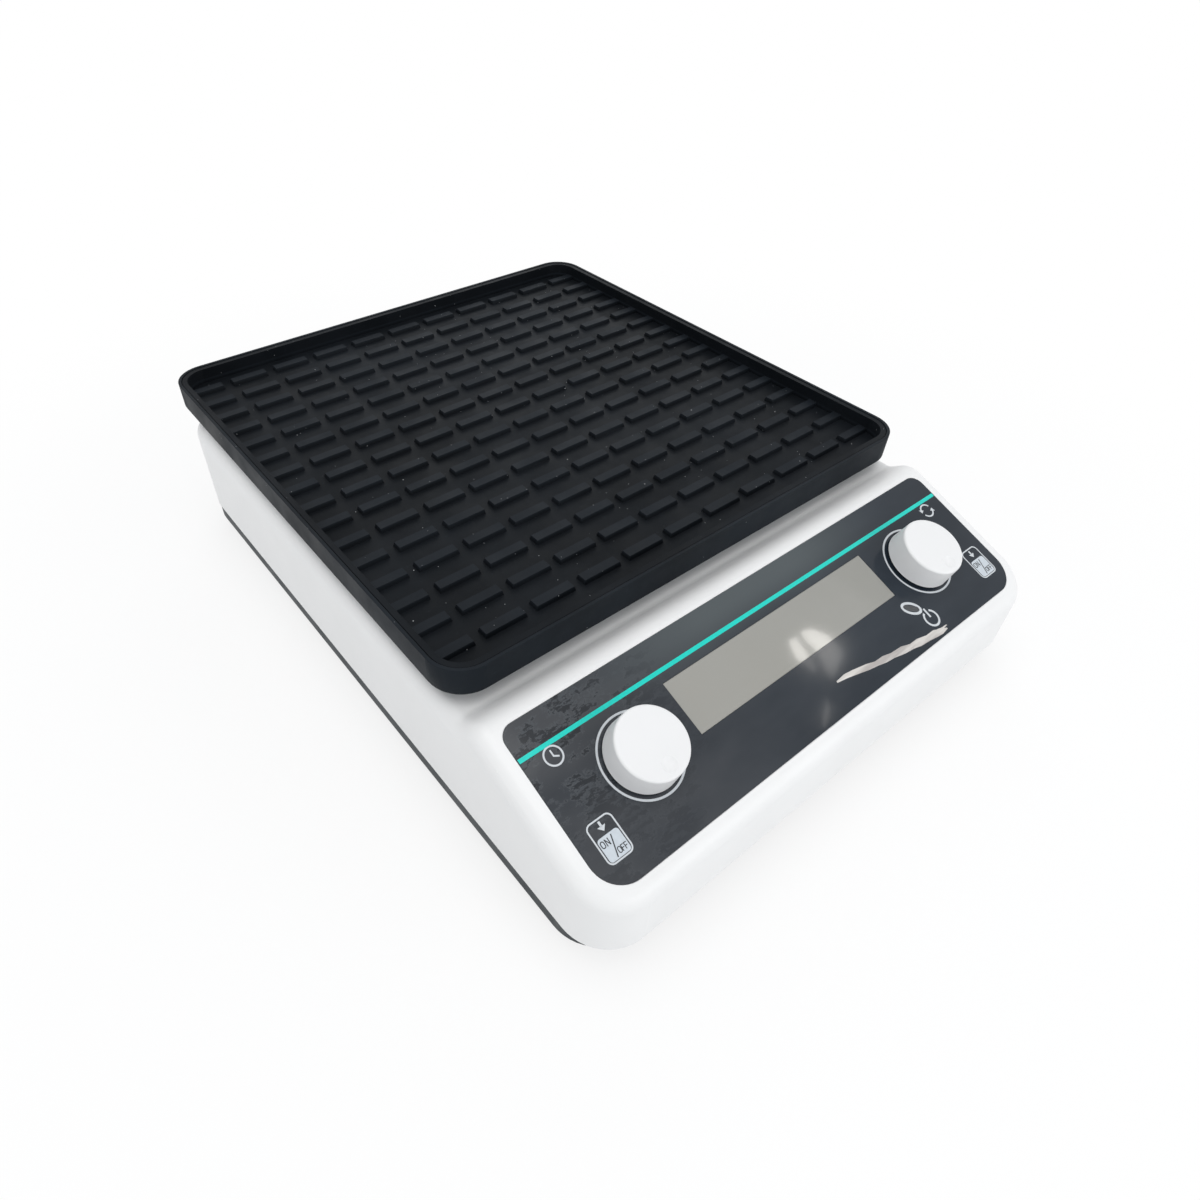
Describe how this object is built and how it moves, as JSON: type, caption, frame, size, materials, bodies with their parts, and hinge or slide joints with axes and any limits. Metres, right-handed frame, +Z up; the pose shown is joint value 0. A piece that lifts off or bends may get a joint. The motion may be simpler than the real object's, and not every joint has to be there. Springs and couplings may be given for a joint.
{
  "type": "orbital platform shaker",
  "caption": "Bench-top orbital shaker: square rimmed platform with a ribbed rubber mat over a white casing, sloping console with two knobs and a display.",
  "frame": {"origin": "centre of the overall footprint, on the table under the rubber feet", "axes": "+Z up; +Y from the console towards the back, along the length; +X to the right of a person who faces the console"},
  "size_m": [0.232, 0.304, 0.074],
  "materials": {
    "casing_white": "moulded, semi-gloss",
    "base_grey": "fine texture",
    "foot_rubber": "matt",
    "screw_steel": "zinc plated",
    "panel_film": "printed film, glossy",
    "window_clear": "clear acrylic over the display",
    "lamp_lens": "frosted lens",
    "lcd_grey": "display glass and frame",
    "board_green": "solder resist",
    "component_black": "moulded",
    "encoder_zinc": "die cast",
    "nickel": "nickel plated",
    "knob_white": "moulded, semi-gloss",
    "transformer_tape": "polyester tape",
    "capacitor_sleeve": "shrink sleeve",
    "fitting_black": "moulded",
    "rocker_black": "moulded",
    "plate_steel": "zinc plated sheet",
    "cast_aluminium": "machined",
    "bearing_steel": "ground",
    "motor_can": "satin",
    "ground_steel": "ground",
    "pulley_black": "moulded",
    "belt_rubber": "matt",
    "counterweight_iron": "blackened",
    "tray_black": "satin",
    "mat_black": "ribbed, matt"
  },
  "bodies": {
    "housing": {"upper_casing": "casing_white", "base_pan": "base_grey", "rubber_feet": "foot_rubber", "foot_screws": "screw_steel", "casing_screws": "screw_steel", "control_panel_film": "panel_film", "display_window": "window_clear", "power_lamp": "lamp_lens", "lcd_module": "lcd_grey", "control_board": "board_green", "control_board_screws": "screw_steel", "alarm_buzzer": "component_black", "time_encoder_body": "encoder_zinc", "speed_encoder_body": "encoder_zinc", "time_encoder_nut": "nickel", "speed_encoder_nut": "nickel", "power_board": "board_green", "power_transformer": "transformer_tape", "power_capacitors": "capacitor_sleeve", "power_board_screws": "screw_steel", "power_inlet": "fitting_black", "inlet_pins": "nickel", "inlet_screws": "screw_steel", "switch_frame": "fitting_black", "drive_plate": "plate_steel", "drive_plate_screws": "screw_steel", "main_bearing_housing": "cast_aluminium", "main_bearings": "bearing_steel", "bearing_housing_screws": "screw_steel", "motor_body": "motor_can", "motor_screws": "screw_steel", "drive_belt": "belt_rubber", "idler_bearing_blocks": "cast_aluminium", "idler_lower_bearings": "bearing_steel", "idler_block_screws": "screw_steel"},
    "crank": {"crank_shaft": "ground_steel", "drive_pulley": "pulley_black", "counterweight": "counterweight_iron", "counterweight_screws": "screw_steel"},
    "motor_rotor": {"motor_shaft": "ground_steel", "motor_pulley": "pulley_black"},
    "platform": {"platform_tray": "tray_black", "rubber_mat": "mat_black", "platform_hub": "cast_aluminium", "hub_bearing": "bearing_steel", "idler_bosses": "cast_aluminium", "idler_upper_bearings": "bearing_steel", "platform_screws": "screw_steel"},
    "idler_front_left": {"idler_crank_front_left": "ground_steel"},
    "idler_back_left": {"idler_crank_back_left": "ground_steel"},
    "idler_front_right": {"idler_crank_front_right": "ground_steel"},
    "idler_back_right": {"idler_crank_back_right": "ground_steel"},
    "time_push": {"time_plunger": "component_black"},
    "time_turn": {"time_shaft": "cast_aluminium", "time_knob": "knob_white"},
    "speed_push": {"speed_plunger": "component_black"},
    "speed_turn": {"speed_shaft": "cast_aluminium", "speed_knob": "knob_white"},
    "rocker": {"power_rocker": "rocker_black"}
  },
  "joints": [
    {"name": "crank_spin", "type": "hinge", "parent": "housing", "child": "crank", "pos_m": [0, 0.042, 0.035], "axis": [0, 0, 1], "continuous": true},
    {"name": "platform_orbit", "type": "hinge", "parent": "crank", "child": "platform", "pos_m": [0, 0.037, 0.056], "axis": [0, 0, 1], "continuous": true},
    {"name": "motor_spin", "type": "hinge", "parent": "housing", "child": "motor_rotor", "pos_m": [0, -0.01, 0.03], "axis": [0, 0, 1], "continuous": true},
    {"name": "idler_front_left_spin", "type": "hinge", "parent": "housing", "child": "idler_front_left", "pos_m": [-0.062, -0.018, 0.034], "axis": [0, 0, 1], "continuous": true},
    {"name": "idler_back_left_spin", "type": "hinge", "parent": "housing", "child": "idler_back_left", "pos_m": [-0.062, 0.102, 0.034], "axis": [0, 0, 1], "continuous": true},
    {"name": "idler_front_right_spin", "type": "hinge", "parent": "housing", "child": "idler_front_right", "pos_m": [0.062, -0.018, 0.034], "axis": [0, 0, 1], "continuous": true},
    {"name": "idler_back_right_spin", "type": "hinge", "parent": "housing", "child": "idler_back_right", "pos_m": [0.062, 0.102, 0.034], "axis": [0, 0, 1], "continuous": true},
    {"name": "time_press", "type": "slide", "parent": "housing", "child": "time_push", "axis": [0, 0.3453, -0.9385], "range_m": [0, 0.0005], "stiffness_N_per_m": 3000, "springref_m": -0.0003},
    {"name": "time_spin", "type": "hinge", "parent": "time_push", "child": "time_turn", "pos_m": [-0.074, -0.11995, 0.05099], "axis": [0, -0.3453, 0.9385], "continuous": true},
    {"name": "speed_press", "type": "slide", "parent": "housing", "child": "speed_push", "axis": [0, 0.3453, -0.9385], "range_m": [0, 0.0005], "stiffness_N_per_m": 3000, "springref_m": -0.0003},
    {"name": "speed_spin", "type": "hinge", "parent": "speed_push", "child": "speed_turn", "pos_m": [0.074, -0.11995, 0.05099], "axis": [0, -0.3453, 0.9385], "continuous": true},
    {"name": "switch_rock", "type": "hinge", "parent": "housing", "child": "rocker", "pos_m": [-0.016, 0.145, 0.033], "axis": [0, 0, -1], "range_deg": [0, 18]}
  ],
  "couplings": [
    {"joint": "platform_orbit", "follows": "crank_spin", "ratio": -1},
    {"joint": "motor_spin", "follows": "crank_spin", "ratio": 3.5},
    {"joint": "idler_front_left_spin", "follows": "crank_spin", "ratio": 1},
    {"joint": "idler_back_left_spin", "follows": "crank_spin", "ratio": 1},
    {"joint": "idler_front_right_spin", "follows": "crank_spin", "ratio": 1},
    {"joint": "idler_back_right_spin", "follows": "crank_spin", "ratio": 1}
  ]
}
